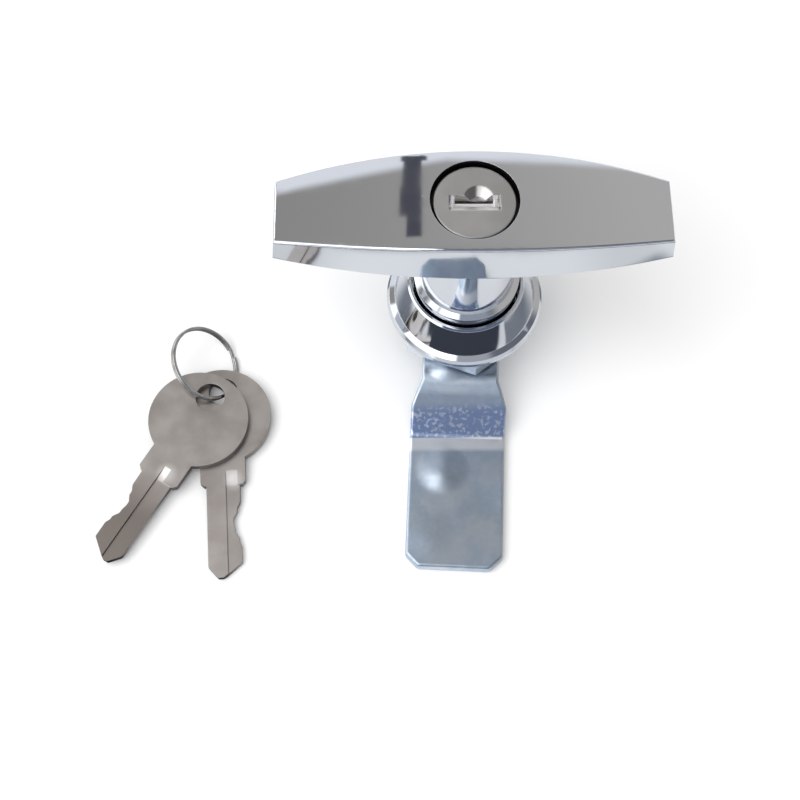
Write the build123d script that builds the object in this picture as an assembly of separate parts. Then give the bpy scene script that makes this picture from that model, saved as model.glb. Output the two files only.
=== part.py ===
from build123d import *
import math
import os

# A keyed T-handle cabinet lock with a cranked cam, and its two keys on a split ring.
# The handle turns the cam a quarter turn, and the key draws a bolt in or out of the housing.
# Millimetres. The origin is the centre of the panel seat, on the lock's axis, and +Z runs
# along that axis towards the grip. The cam points along -Y and the grip lies along X.
# The lock stands on its cam screw and the cam's blade, as on a table, and the keys lie
# on the same table.

# Fits
RUN = 0.08            # radial clearance of a part that turns in a bore
SLIDE = 0.1           # clearance on each side of a part that slides in a slot
AXIAL_PLAY = 0.1      # end play of the handle in the housing

# Grip
GRIP_LENGTH = 80.4    # at the top edge, like the widths
GRIP_MID_WIDTH = 23.1
GRIP_END_WIDTH = 14.1
GRIP_MID_THICKNESS = 10.8
GRIP_END_THICKNESS = 6.2
GRIP_UNDERSIDE = 31.7
GRIP_DRAFT = 5.2      # lean of the grip's sides, in degrees
GRIP_CROWN_RADIUS = 130.0
GRIP_CROWN_ANGLE = 8.0
GRIP_TOP_RADIUS = 0.5
GRIP_BOTTOM_RADIUS = 0.7

# Neck, collar, journal and square of the handle
NECK_RADIUS = 10.4
NECK_FOOT = 12.25
NECK_FILLET = 1.2
COLLAR_RADIUS = 11.5
COLLAR_TOP = 11.5
JOURNAL_RADIUS = 7.1
SQUARE = 10.0
SQUARE_SHORT = 0.3    # how far the square stops short of the cam's lower face
SQUARE_CHAMFER = 0.5

# Housing: flange, cone and threaded barrel
HOUSING_TOP = 9.0
LIP_RADIUS = 12.9
CONE_FOOT_RADIUS = 15.6
CONE_FOOT = 2.5
FLANGE_RADIUS = 17.3
FLANGE_EDGE = 1.3     # height of the flange's upright edge
FLANGE_ROUND = 0.5
FLANGE_SLOPE = 0.7
LIP_CHAMFER = 0.4
POCKET_CHAMFER = 0.2
SEAT_RADIUS = 16.9
POCKET_RADIUS = 11.85
POCKET_FLOOR = 3.0
BARREL_RADIUS = 11.0
BARREL_LENGTH = 6.2
BARREL_FLATS = 20.6   # across the two flats that stop the barrel turning in its panel hole
BARREL_CHAMFER = 0.6

# Panel gasket and nut
GASKET_INNER_RADIUS = 12.1
GASKET_OUTER_RADIUS = 15.3
GASKET_THICKNESS = 1.2
GASKET_RECESS = 0.8
GASKET_CLEARANCE = 0.15
HEX_FACE_SHARE = 0.98 # round face of a nut or screw head, as a share of its width across flats
HEX_CHAMFER = 30.0
NUT_FLATS = 28.6
NUT_THICKNESS = 5.0
NUT_ANGLE = 8.5       # how far a corner of the nut stands round from -Y
NUT_LOWER_SHARE = 0.1 # how much of the corner chamfer its lower face has
THREAD_CLEARANCE = 0.05

# Stop washer and the quarter-turn recess in the barrel's end
TURN = 90.0
STOP_RADIUS = 9.3
STOP_THICKNESS = 0.9
LUG_INNER_RADIUS = 8.1
LUG_HEIGHT = 1.5
LUG_ANGLE = 24.0
LUG_START = -135.0    # where the lug stands with the cam along -Y
RECESS_SLACK = 0.7    # degrees of slack at each end of the turn
RECESS_CLEARANCE = 0.25

# Cam
CAM_THICKNESS = 3.0
CAM_DROP = 8.9
CAM_ANGLE = 43.5
CAM_NECK_WIDTH = 17.2
CAM_WIDTH = 21.5
CAM_BACK = 9.0
CAM_BEND_START = 17.6
CAM_WIDEN_START = 16.6
CAM_WIDEN_END = 21.4
CAM_REACH = 58.0
CAM_CORNER = 2.8      # corners cut off at the blade's end
CAM_PLAN_RADIUS = 1.5
CAM_SKEW = -3.0       # degrees that the cam sits off true on the square, as in the photo
CAM_HOLE_CLEARANCE = 0.3
CAM_OUTER_BEND = 7.5
CAM_INNER_BEND = 1.2
CAM_EDGE = 0.6        # rounding of the cam's long edges

# Cam screw and washers
WASHER_OUTER_RADIUS = 8.0
WASHER_INNER_RADIUS = 4.2
WASHER_THICKNESS = 1.6
SPRING_WASHER_OUTER_RADIUS = 7.4
SPRING_WASHER_THICKNESS = 2.0
SPRING_WASHER_GAP = 1.6
SPRING_WASHER_SLANT = 30.0
SCREW_RADIUS = 3.95
SCREW_LENGTH = 12.0
SCREW_HEAD_FLATS = 13.0
SCREW_HEAD_HEIGHT = 5.3
SCREW_END_CHAMFER = 0.8
TAP_DEPTH = 9.0

# O-ring on the journal
O_RING_SECTION = 1.1
O_RING_HEIGHT = 0.6   # height of its middle above the panel seat
O_RING_CLEARANCE = 0.05

# Lock plug
PLUG_HEAD_RADIUS = 8.4
PLUG_HEAD_THICKNESS = 2.2
PLUG_HEAD_DEPTH = 1.3
PLUG_HEAD_CLEARANCE = 0.65
PLUG_HEAD_CHAMFER = 0.2
PLUG_RADIUS = 6.25
PLUG_BOTTOM = 14.6
KEYWAY_WIDTH = 7.8
KEYWAY_HEIGHT = 2.3
KEYWAY_BOTTOM = 16.7
KEYWAY_SHIFT = 0.5    # how far the keyway lies off the plug's axis
ENTRY_WIDTH = 10.3
ENTRY_DEPTH = 2.0
ENTRY_BEVEL_WIDTH = 1.2
ENTRY_BEVEL_DEPTH = 0.8
SCOOP_RADIUS = 3.0
SCOOP_FLOOR_RADIUS = 1.65
SCOOP_DEPTH = 2.4
SCOOP_X = 0.8
SCOOP_Y = 0.85

# Wafers in the plug
WAFER_COUNT = 5
WAFER_PITCH = 2.3
WAFER_FIRST_BELOW_ENTRY = 3.5
WAFER_THICKNESS = 1.2
WAFER_WIDTH = 5.7
WAFER_SHORT = 0.1     # how far a wafer's ends lie inside the plug's surface
WAFER_DROP = 0.8
WAFER_LUG_WIDTH = 1.9
WAFER_LUG_REACH = 4.9
WAFER_SLOT_RADIUS = 7.3
WINDOW_CLEARANCE = 0.15
RETAINER_THICKNESS = 1.4
RETAINER_HEIGHT = 19.0
RETAINER_REACH = 6.9
SPRING_RADIUS = 0.75
SPRING_WALL = 0.25
SPRING_LENGTH = 2.9
SPRING_OFFSET = 4.0
RETAINER_SHIFT = RETAINER_REACH - (PLUG_RADIUS - WAFER_SHORT)

# Tailpiece and locking bolt
TAIL_RADIUS = 3.5
TANG_WIDTH = 4.4
TANG_HEIGHT = 1.6
CRANK_OFFSET = 1.6
CRANK_PIN_RADIUS = 1.2
CRANK_START = -135.0
BOLT_BOTTOM = 4.2
BOLT_THICKNESS = 3.0
BOLT_WIDTH = 8.0
BOLT_TIP = 12.9       # how far its tip reaches from the axis when it locks
BOLT_TAIL = 4.3
NOTCH_RADIUS = 13.1

# Keys
KEY_THICKNESS = 1.9
KEY_BOW_RADIUS = 11.3
KEY_HOLE_RADIUS = 3.3
KEY_HOLE_OFFSET = 5.8
KEY_HOLE_ASIDE = 0.65 # how far the hole lies off the middle line, towards the bitted edge
KEY_SHOULDER = 16.6
KEY_SHOULDER_WIDTH = 10.1
KEY_SHOULDER_CHAMFER = 0.8
KEY_TIP = 37.8
KEY_WIDTH = 7.5
KEY_FRONT_GROOVE = 0.0   # where the milled step lies across the blade, on each side
KEY_BACK_GROOVE = -0.6
KEY_MILL_DEPTH = 0.45
KEY_MILL_START = 13.2
KEY_MILL_RAMP = 4.3
KEY_FRONT_MILL = 1.7  # width of the milled step where it runs out at the bow
KEY_BACK_MILL = 2.6
KEY_TIP_LENGTH = 3.3
KEY_TIP_NOSE = 1.0    # how far off the middle the tip's nose lies
KEY_TIP_NOSE_HALF = 0.6
KEY_BACK_SLOPE = 2.6  # length of the tip's slope on the plain edge
KEY_TIP_ROUND = 0.5
KEY_CUT_FLAT = 0.9
KEY_CUT_END = 1.0     # length of the slope after the last cut
KEY_CUTS = [0.1, 0.85, 1.7, 1.4, 0.5]
KEY_GAP = 0.1         # gap between the two keys where they cross
FRONT_KEY_HEADING = -122.0
BACK_KEY_HEADING = -86.6
BACK_KEY_ASIDE = 0.3  # how far the middle of the lower key's hole lies off the ring's wire, in X
BACK_KEY_ONWARD = 0.7 # the same along the key's slope

# Split ring
RING_RADIUS = 8.5
RING_WIRE = 0.75
RING_TURN_PITCH = 0.55
RING_CENTRE_X = -59.0
RING_CENTRE_Y = -9.8
RING_TILT = 39.0
RING_BACK_HOLE = -54.0   # where round the ring the lower key hangs
RING_END_GAP = 1.2
RING_END_ANGLE = 20.0

# Heights worked out from the sizes above
FACE = GRIP_UNDERSIDE + GRIP_MID_THICKNESS
PLUG_TOP = FACE - PLUG_HEAD_DEPTH
ENTRY_FLOOR = PLUG_TOP - ENTRY_DEPTH
JOURNAL_BOTTOM = -BARREL_LENGTH - AXIAL_PLAY
CAM_TOP = JOURNAL_BOTTOM - STOP_THICKNESS
CAM_BOTTOM = CAM_TOP - CAM_THICKNESS
WASHER_BOTTOM = CAM_BOTTOM - WASHER_THICKNESS
SPRING_WASHER_BOTTOM = WASHER_BOTTOM - SPRING_WASHER_THICKNESS
TABLE = SPRING_WASHER_BOTTOM - SCREW_HEAD_HEIGHT
SQUARE_BOTTOM = CAM_BOTTOM + SQUARE_SHORT
BOLT_TOP = BOLT_BOTTOM + BOLT_THICKNESS
BOLT_TRAVEL = 2 * CRANK_OFFSET * math.sin(math.radians(TURN / 2))
BORE_BOTTOM = PLUG_BOTTOM - 2 * SLIDE
WAFER_HEIGHTS = [ENTRY_FLOOR - WAFER_FIRST_BELOW_ENTRY - i * WAFER_PITCH for i in range(WAFER_COUNT)]


def revolved(points):
    # A solid turned about Z from an outline of (radius, height) points.
    return revolve(Plane.XZ * make_face(Polyline(*points, close=True)), Axis.Z)


def ring_of(inner, outer, bottom, top):
    # A plain ring or tube about Z.
    return revolved([(inner, bottom), (outer, bottom), (outer, top), (inner, top)])


def rod(radius, bottom, top, x=0.0, y=0.0):
    # A round rod along Z between two heights.
    length = top - bottom
    return Pos(x, y, (bottom + top) / 2) * Cylinder(radius, length)


def block(low, high):
    # A box from its lowest to its highest corner.
    size = [h - l for l, h in zip(low, high)]
    middle = [(h + l) / 2 for l, h in zip(low, high)]
    return Pos(*middle) * Box(*size)


def sector(inner, outer, start, end, bottom, top):
    # A slice of a ring between two angles in degrees.
    far = 2 * outer
    middle = math.radians((start + end) / 2)
    first = math.radians(start)
    last = math.radians(end)
    wedge = Polyline(
        (0, 0),
        (far * math.cos(first), far * math.sin(first)),
        (far * math.cos(middle), far * math.sin(middle)),
        (far * math.cos(last), far * math.sin(last)),
        close=True,
    )
    slice_ = extrude(Pos(0, 0, bottom) * make_face(wedge), top - bottom)
    return slice_ & ring_of(inner, outer, bottom, top)


def hex_prism(flats, bottom, top, angle, lower_share=1.0):
    # A hexagonal prism with its ends chamfered at the corners, as a nut or screw head has.
    corner = flats / math.sqrt(3)
    face_radius = HEX_FACE_SHARE * flats / 2
    fall = (corner - face_radius) * math.tan(math.radians(HEX_CHAMFER))
    prism = extrude(
        Pos(0, 0, bottom) * RegularPolygon(corner, 6, rotation=angle), top - bottom
    )
    turned = revolved(
        [(0, bottom), (face_radius, bottom), (corner, bottom + fall * lower_share),
         (corner, top - fall), (face_radius, top), (0, top)]
    )
    return prism & turned


# The handle

def grip_plan(height):
    # The grip's outline at a height. It grows towards the bottom by the draft of the sides.
    lean = math.tan(math.radians(GRIP_DRAFT))
    end_top = GRIP_UNDERSIDE + GRIP_END_THICKNESS
    half = GRIP_LENGTH / 2 + (end_top - height) * lean
    end = GRIP_END_WIDTH / 2 + (end_top - height) * lean
    middle = GRIP_MID_WIDTH / 2 + (FACE - height) * lean
    return Pos(0, 0, height) * make_face([
        ThreePointArc((-half, end), (0, middle), (half, end)),
        Line((half, end), (half, -end)),
        ThreePointArc((half, -end), (0, -middle), (-half, -end)),
        Line((-half, -end), (-half, end)),
    ])


def grip():
    # The top is arched along the bar and slightly across it.
    bar = loft([grip_plan(GRIP_UNDERSIDE), grip_plan(FACE + 1)], ruled=True)
    half = GRIP_LENGTH / 2
    drop = GRIP_MID_THICKNESS - GRIP_END_THICKNESS
    arch_radius = (half ** 2 + drop ** 2) / (2 * drop)
    wide = half + GRIP_MID_THICKNESS
    wide_top = FACE - arch_radius + math.sqrt(arch_radius ** 2 - wide ** 2)
    low = FACE - GRIP_CROWN_RADIUS
    arch = make_face([
        ThreePointArc((-wide, wide_top), (0, FACE), (wide, wide_top)),
        Line((wide, wide_top), (wide, low + 1)),
        Line((wide, low + 1), (-wide, low + 1)),
        Line((-wide, low + 1), (-wide, wide_top)),
    ])
    spine = Axis((0, 0, low), (1, 0, 0))
    crown = revolve(Plane.XZ * arch, spine, 2 * GRIP_CROWN_ANGLE)
    bar = bar & crown.rotate(spine, -GRIP_CROWN_ANGLE)
    under = bar.faces().sort_by(Axis.Z)[0]
    bar = fillet(under.edges(), GRIP_BOTTOM_RADIUS)
    top = bar.faces().sort_by(Axis.Z)[-1]
    return fillet(top.edges(), GRIP_TOP_RADIUS)


def plug_bore():
    # The bore that holds the lock plug, with the slots that the wafers drop into at
    # both ends of the plug's turn and the groove that the retaining wafer runs in.
    bore = rod(PLUG_RADIUS + RUN, BORE_BOTTOM, FACE)
    mouth_floor = PLUG_TOP - PLUG_HEAD_THICKNESS - SLIDE
    bore += rod(PLUG_HEAD_RADIUS + PLUG_HEAD_CLEARANCE, mouth_floor, FACE + 1)
    slot_top = WAFER_HEIGHTS[0] + WAFER_THICKNESS
    slot_bottom = WAFER_HEIGHTS[-1] - WAFER_THICKNESS
    half = WAFER_WIDTH / 2 + SLIDE
    bore += block((-WAFER_SLOT_RADIUS, -half, slot_bottom), (0, half, slot_top))
    bore += block((-half, -WAFER_SLOT_RADIUS, slot_bottom), (half, 0, slot_top))
    groove_half = RETAINER_THICKNESS / 2 + SLIDE
    bore += rod(WAFER_SLOT_RADIUS, RETAINER_HEIGHT - groove_half, RETAINER_HEIGHT + groove_half)
    return bore


def bolt_channel():
    # The slot in the collar that the locking bolt slides in, open on the +X side.
    half = BOLT_WIDTH / 2 + SLIDE
    low = (-BOLT_TAIL - 2 * SLIDE, -half, BOLT_BOTTOM - SLIDE)
    high = (COLLAR_RADIUS + 1, half, BOLT_TOP + SLIDE)
    return block(low, high)


def t_handle():
    neck = revolved([
        (0, JOURNAL_BOTTOM), (JOURNAL_RADIUS, JOURNAL_BOTTOM), (JOURNAL_RADIUS, POCKET_FLOOR + AXIAL_PLAY),
        (COLLAR_RADIUS, POCKET_FLOOR + AXIAL_PLAY), (COLLAR_RADIUS, COLLAR_TOP), (NECK_RADIUS, NECK_FOOT),
        (NECK_RADIUS, GRIP_UNDERSIDE), (0, GRIP_UNDERSIDE),
    ])
    body = grip() + neck
    root = body.edges().filter_by(GeomType.CIRCLE).filter_by(
        lambda e: abs(e.center().Z - GRIP_UNDERSIDE) < 0.01 and abs(e.radius - NECK_RADIUS) < 0.01
    )
    body = fillet(root, NECK_FILLET)
    half = SQUARE / 2
    square = block((-half, -half, SQUARE_BOTTOM), (half, half, JOURNAL_BOTTOM))
    square = chamfer(square.faces().sort_by(Axis.Z)[0].edges(), SQUARE_CHAMFER)
    body += square
    body -= plug_bore()
    body -= rod(TAIL_RADIUS + RUN, BOLT_BOTTOM, PLUG_BOTTOM)
    body -= bolt_channel()
    body -= rod(SCREW_RADIUS + THREAD_CLEARANCE, SQUARE_BOTTOM, SQUARE_BOTTOM + TAP_DEPTH)
    groove_floor = JOURNAL_RADIUS + RUN - O_RING_SECTION - 2 * O_RING_CLEARANCE
    half_groove = O_RING_SECTION / 2 + SLIDE
    body -= ring_of(groove_floor, COLLAR_RADIUS, O_RING_HEIGHT - half_groove, O_RING_HEIGHT + half_groove)
    return body


def neck_o_ring():
    centre = JOURNAL_RADIUS + RUN - O_RING_CLEARANCE - O_RING_SECTION / 2
    return Pos(0, 0, O_RING_HEIGHT) * Torus(centre, O_RING_SECTION / 2)


# The lock plug and what it holds

def keyway():
    near = KEYWAY_SHIFT - KEYWAY_HEIGHT / 2
    far = KEYWAY_SHIFT + KEYWAY_HEIGHT / 2
    above = PLUG_TOP + 1
    slot = block((-KEYWAY_WIDTH / 2, near, KEYWAY_BOTTOM), (KEYWAY_WIDTH / 2, far, above))
    slot += block((-ENTRY_WIDTH / 2, near, ENTRY_FLOOR), (ENTRY_WIDTH / 2, far, above))
    # the near edge of the mouth is bevelled, and the far edge has a half-round scoop
    bevel = Polyline(
        (near, PLUG_TOP - ENTRY_BEVEL_DEPTH), (near, above),
        (near - ENTRY_BEVEL_WIDTH, above), (near - ENTRY_BEVEL_WIDTH, PLUG_TOP), close=True,
    )
    slot += extrude(Plane.YZ * make_face(bevel), ENTRY_WIDTH / 2, both=True)
    scoop_floor = PLUG_TOP - SCOOP_DEPTH
    scoop = Cone(SCOOP_FLOOR_RADIUS, SCOOP_RADIUS, SCOOP_DEPTH)
    scoop = Pos(SCOOP_X, SCOOP_Y, PLUG_TOP - SCOOP_DEPTH / 2) * scoop
    far_side = block((-ENTRY_WIDTH, KEYWAY_SHIFT, scoop_floor), (ENTRY_WIDTH, 2 * ENTRY_WIDTH, PLUG_TOP))
    return slot + (scoop & far_side)


def wafer_slot(height, thickness, lug_left, lug_right):
    # The slot for one wafer, the way its lug moves from left to right, and its spring's pocket.
    half = thickness / 2 + SLIDE / 2
    side = WAFER_WIDTH / 2 + SLIDE / 2
    slot = block((-2 * PLUG_RADIUS, -side, height - half), (2 * PLUG_RADIUS, side, height + half))
    lug = WAFER_LUG_WIDTH / 2
    slot += block(
        (lug_left - lug - SLIDE, 0, height - half),
        (lug_right + lug + SLIDE, WAFER_LUG_REACH + SLIDE, height + half),
    )
    pocket = SPRING_RADIUS + SLIDE
    slot += block(
        (lug, SPRING_OFFSET - pocket, height - pocket),
        (lug + SPRING_LENGTH, SPRING_OFFSET + pocket, height + pocket),
    )
    return slot


def lock_plug():
    body = rod(PLUG_RADIUS, PLUG_BOTTOM, PLUG_TOP)
    head = rod(PLUG_HEAD_RADIUS, PLUG_TOP - PLUG_HEAD_THICKNESS, PLUG_TOP)
    body += chamfer(head.edges().group_by(Axis.Z)[-1], PLUG_HEAD_CHAMFER)
    body -= keyway()
    for height in WAFER_HEIGHTS:
        body -= wafer_slot(height, WAFER_THICKNESS, -WAFER_DROP, 0)
    body -= wafer_slot(RETAINER_HEIGHT, RETAINER_THICKNESS, 0, RETAINER_SHIFT)
    half = TANG_WIDTH / 2 + SLIDE
    body -= block((-half, -half, PLUG_BOTTOM), (half, half, PLUG_BOTTOM + TANG_HEIGHT + SLIDE))
    return body


def wafer(height, thickness, cut, shift):
    # One wafer: a thin plate across the plug with a window for the key and a lug for its spring.
    half = thickness / 2
    side = WAFER_WIDTH / 2
    reach = PLUG_RADIUS - WAFER_SHORT
    plate = block((-reach, -side, height - half), (reach, side, height + half))
    plate = plate & rod(reach, height - half, height + half)
    lug = WAFER_LUG_WIDTH / 2
    plate += block((-lug, 0, height - half), (lug, WAFER_LUG_REACH, height + half))
    edge = KEY_WIDTH / 2 + WINDOW_CLEARANCE
    tall = KEYWAY_HEIGHT / 2 + WINDOW_CLEARANCE
    plate -= block(
        (-edge + cut, KEYWAY_SHIFT - tall, height - half), (edge, KEYWAY_SHIFT + tall, height + half)
    )
    return Pos(shift, 0, 0) * plate


def wafers():
    # Held level with the plug's surface, as they are with the key in.
    return Compound([wafer(h, WAFER_THICKNESS, cut, 0) for h, cut in zip(WAFER_HEIGHTS, KEY_CUTS)])


def retainer_wafer():
    # Its far end always stands out into the groove of the bore, and keeps the plug in.
    return wafer(RETAINER_HEIGHT, RETAINER_THICKNESS, -RETAINER_SHIFT, RETAINER_SHIFT)


def spring_at(height, start, length):
    tube = Cylinder(SPRING_RADIUS, length) - Cylinder(SPRING_RADIUS - SPRING_WALL, length)
    return Pos(start + length / 2, SPRING_OFFSET, height) * Rot(0, 90, 0) * tube


def wafer_springs():
    start = WAFER_LUG_WIDTH / 2
    return Compound([spring_at(h, start, SPRING_LENGTH) for h in WAFER_HEIGHTS])


def retainer_spring():
    start = WAFER_LUG_WIDTH / 2 + RETAINER_SHIFT
    return spring_at(RETAINER_HEIGHT, start, SPRING_LENGTH - RETAINER_SHIFT)


def plug_tailpiece():
    # Turns with the plug. Its crank pin pushes the locking bolt in and out.
    tail_bottom = BOLT_TOP + 2 * SLIDE
    body = rod(TAIL_RADIUS, tail_bottom, PLUG_BOTTOM)
    half = TANG_WIDTH / 2
    body += block((-half, -half, PLUG_BOTTOM), (half, half, PLUG_BOTTOM + TANG_HEIGHT))
    angle = math.radians(CRANK_START)
    pin_x = CRANK_OFFSET * math.cos(angle)
    pin_y = CRANK_OFFSET * math.sin(angle)
    body += rod(CRANK_PIN_RADIUS, BOLT_BOTTOM + SLIDE, tail_bottom, pin_x, pin_y)
    return body


def locking_bolt():
    # Stored drawn in, so that the handle is free to turn.
    half = BOLT_WIDTH / 2
    body = block((-BOLT_TAIL, -half, BOLT_BOTTOM), (BOLT_TIP, half, BOLT_TOP))
    shift = BOLT_TRAVEL
    body = body & rod(BOLT_TIP, BOLT_BOTTOM, BOLT_TOP, -shift, 0)
    angle = math.radians(CRANK_START)
    pin_x = CRANK_OFFSET * math.cos(angle)
    pin_y = CRANK_OFFSET * math.sin(angle)
    slot_half = CRANK_PIN_RADIUS + SLIDE
    low = (pin_x - slot_half, -CRANK_OFFSET - slot_half, BOLT_BOTTOM)
    high = (pin_x + slot_half, pin_y + slot_half, BOLT_TOP)
    return body - block(low, high)


# The housing and what fixes it to a panel

def housing():
    body = revolved([
        (JOURNAL_RADIUS + RUN, -BARREL_LENGTH), (BARREL_RADIUS - BARREL_CHAMFER, -BARREL_LENGTH),
        (BARREL_RADIUS, -BARREL_LENGTH + BARREL_CHAMFER), (BARREL_RADIUS, 0), (SEAT_RADIUS, 0),
        (FLANGE_RADIUS, FLANGE_RADIUS - SEAT_RADIUS), (FLANGE_RADIUS, FLANGE_EDGE),
        (FLANGE_RADIUS - FLANGE_ROUND, FLANGE_EDGE + FLANGE_SLOPE), (CONE_FOOT_RADIUS, CONE_FOOT),
        (LIP_RADIUS, HOUSING_TOP - LIP_CHAMFER), (LIP_RADIUS - LIP_CHAMFER, HOUSING_TOP),
        (POCKET_RADIUS + POCKET_CHAMFER, HOUSING_TOP), (POCKET_RADIUS, HOUSING_TOP - POCKET_CHAMFER),
        (POCKET_RADIUS, POCKET_FLOOR),
        (JOURNAL_RADIUS + RUN, POCKET_FLOOR),
    ])
    body -= ring_of(
        GASKET_INNER_RADIUS - GASKET_CLEARANCE, GASKET_OUTER_RADIUS + GASKET_CLEARANCE, 0, GASKET_RECESS
    )
    # flats on the barrel
    flat = BARREL_FLATS / 2
    for side in (-1, 1):
        cut = block((flat, -BARREL_RADIUS, -BARREL_LENGTH), (2 * BARREL_RADIUS, BARREL_RADIUS, 0))
        body -= cut if side > 0 else Rot(0, 0, 180) * cut
    # notches for the locking bolt at both ends of the handle's turn
    half = BOLT_WIDTH / 2 + 2 * SLIDE
    notch = block((0, -half, BOLT_BOTTOM - 2 * SLIDE), (NOTCH_RADIUS, half, BOLT_TOP + 2 * SLIDE))
    notch = notch & ring_of(JOURNAL_RADIUS, NOTCH_RADIUS, BOLT_BOTTOM - 2 * SLIDE, BOLT_TOP + 2 * SLIDE)
    for angle in (0, TURN):
        body -= Rot(0, 0, angle) * notch
    # recess in the barrel's end that the stop washer's lug travels in
    start = LUG_START - LUG_ANGLE / 2 - RECESS_SLACK
    end = start + TURN + LUG_ANGLE + 2 * RECESS_SLACK
    body -= sector(
        LUG_INNER_RADIUS - RECESS_CLEARANCE, STOP_RADIUS + RECESS_CLEARANCE, start, end,
        -BARREL_LENGTH, -BARREL_LENGTH + LUG_HEIGHT + RECESS_CLEARANCE,
    )
    return body


def panel_gasket():
    bottom = GASKET_RECESS - GASKET_THICKNESS
    return ring_of(GASKET_INNER_RADIUS, GASKET_OUTER_RADIUS, bottom, GASKET_RECESS)


def hex_nut():
    bottom = -BARREL_LENGTH
    nut = hex_prism(NUT_FLATS, bottom, bottom + NUT_THICKNESS, NUT_ANGLE - 90, NUT_LOWER_SHARE)
    return nut - rod(BARREL_RADIUS + THREAD_CLEARANCE, bottom, bottom + NUT_THICKNESS)


def square_hole(bottom, top, clearance):
    half = SQUARE / 2 + clearance
    return block((-half, -half, bottom), (half, half, top))


def stop_washer():
    bottom = JOURNAL_BOTTOM - STOP_THICKNESS
    body = rod(STOP_RADIUS, bottom, JOURNAL_BOTTOM) - square_hole(bottom, JOURNAL_BOTTOM, SLIDE)
    start = LUG_START - LUG_ANGLE / 2
    return body + sector(
        LUG_INNER_RADIUS, STOP_RADIUS, start, start + LUG_ANGLE,
        JOURNAL_BOTTOM, JOURNAL_BOTTOM + LUG_HEIGHT,
    )


# The cam and its screw

def bent_line(start, height, corner_shift, upper_radius, lower_radius):
    # One face of the bent strip in side view, as (Y, Z), from behind the shaft to the tip.
    run = CAM_DROP / math.tan(math.radians(CAM_ANGLE))
    first = -CAM_BEND_START + corner_shift
    second = first - run
    points = [(start, height), (first, height), (second, height - CAM_DROP), (-CAM_REACH, height - CAM_DROP)]
    return FilletPolyline(*points, radius=[upper_radius, lower_radius])


def is_upright(edge):
    run = edge @ 1 - edge @ 0
    return math.hypot(run.X, run.Y) < 0.01


def cam():
    shift = CAM_THICKNESS * math.tan(math.radians(CAM_ANGLE / 2))
    upper = bent_line(CAM_BACK, CAM_TOP, 0, CAM_OUTER_BEND, CAM_INNER_BEND)
    inner_fold = CAM_OUTER_BEND - CAM_THICKNESS
    outer_fold = CAM_INNER_BEND + CAM_THICKNESS
    lower = bent_line(CAM_BACK, CAM_BOTTOM, shift, inner_fold, outer_fold)
    strip = make_face([
        *upper.edges(), *lower.edges(),
        Line((CAM_BACK, CAM_TOP), (CAM_BACK, CAM_BOTTOM)),
        Line((-CAM_REACH, CAM_TOP - CAM_DROP), (-CAM_REACH, CAM_BOTTOM - CAM_DROP)),
    ])
    body = extrude(Plane.YZ * strip, CAM_WIDTH, both=True)
    neck = CAM_NECK_WIDTH / 2
    wide = CAM_WIDTH / 2
    square_back = CAM_BACK - neck
    plan = make_face([
        ThreePointArc((neck, square_back), (0, CAM_BACK), (-neck, square_back)),
        *Polyline(
            (-neck, square_back), (-neck, -CAM_WIDEN_START), (-wide, -CAM_WIDEN_END),
            (-wide, -CAM_REACH + CAM_CORNER), (-wide + CAM_CORNER, -CAM_REACH),
            (wide - CAM_CORNER, -CAM_REACH), (wide, -CAM_REACH + CAM_CORNER),
            (wide, -CAM_WIDEN_END), (neck, -CAM_WIDEN_START), (neck, square_back),
        ).edges(),
    ])
    plan = fillet(plan.vertices().filter_by(lambda v: v.Y < -CAM_WIDEN_START + 1), CAM_PLAN_RADIUS)
    body = body & extrude(Pos(0, 0, TABLE - 1) * plan, CAM_TOP - TABLE + 2)
    sides = body.faces().filter_by(lambda f: abs(f.normal_at().Z) < 0.01)
    rims = sides.edges().filter_by(lambda e: not is_upright(e))
    body = fillet(rims, CAM_EDGE)
    body -= square_hole(CAM_BOTTOM, CAM_TOP, CAM_HOLE_CLEARANCE)
    return Rot(0, 0, CAM_SKEW) * body


def plain_washer():
    return ring_of(WASHER_INNER_RADIUS, WASHER_OUTER_RADIUS, WASHER_BOTTOM, CAM_BOTTOM)


def spring_washer():
    ring = ring_of(WASHER_INNER_RADIUS, SPRING_WASHER_OUTER_RADIUS, SPRING_WASHER_BOTTOM, WASHER_BOTTOM)
    half = SPRING_WASHER_GAP / 2
    far = SPRING_WASHER_OUTER_RADIUS + 1
    split = block((0, -half, SPRING_WASHER_BOTTOM - 1), (far, half, WASHER_BOTTOM + 1))
    middle = (SPRING_WASHER_BOTTOM + WASHER_BOTTOM) / 2
    slant = Pos(0, 0, middle) * Rot(SPRING_WASHER_SLANT, 0, 0) * Pos(0, 0, -middle) * split
    return ring - slant


def cam_screw():
    head = hex_prism(SCREW_HEAD_FLATS, TABLE, SPRING_WASHER_BOTTOM, 0)
    shank = rod(SCREW_RADIUS, SPRING_WASHER_BOTTOM, SPRING_WASHER_BOTTOM + SCREW_LENGTH)
    return head + chamfer(shank.edges().group_by(Axis.Z)[-1], SCREW_END_CHAMFER)


# The keys and their ring

def key_blank_outline():
    # Seen from above, with the bow's centre at the origin and the blade along +X.
    bow = Circle(KEY_BOW_RADIUS)
    half = KEY_SHOULDER_WIDTH / 2
    shoulder = Pos(KEY_SHOULDER / 2, 0) * Rectangle(KEY_SHOULDER, 2 * half)
    shoulder = chamfer(shoulder.vertices().group_by(Axis.X)[-1], KEY_SHOULDER_CHAMFER)
    return bow + shoulder


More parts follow.
